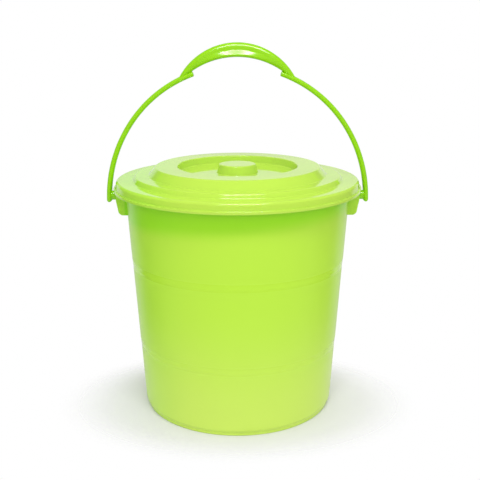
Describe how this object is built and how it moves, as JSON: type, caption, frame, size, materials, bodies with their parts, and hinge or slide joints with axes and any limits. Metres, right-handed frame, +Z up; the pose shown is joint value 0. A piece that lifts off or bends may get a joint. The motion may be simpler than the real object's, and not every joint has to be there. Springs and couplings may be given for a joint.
{
  "type": "plastic bucket",
  "caption": "Round tapered plastic bucket with a stepped lid, a knob sunk in the lid's middle, and a swinging carrying bail with a moulded hand grip.",
  "frame": {"origin": "centre of the foot ring, on the surface that the bucket stands on", "axes": "+Z up along the bucket's axis, X along the bail's pivot axis, -Y towards the viewer"},
  "size_m": [0.3204, 0.3, 0.4468],
  "materials": {
    "bucket_plastic": "glossy lime green polypropylene",
    "lid_plastic": "glossy lime green polypropylene",
    "bail_plastic": "glossy polypropylene, a deeper green than the bucket"
  },
  "bodies": {
    "bucket": {"bucket_body": "bucket_plastic", "lid": "lid_plastic"},
    "bail": {"bail_handle": "bail_plastic"}
  },
  "joints": [
    {"name": "bail_swing", "type": "hinge", "parent": "bucket", "child": "bail", "pos_m": [0, 0, 0.2646], "axis": [1, 0, 0], "range_deg": [-118, 118]}
  ]
}
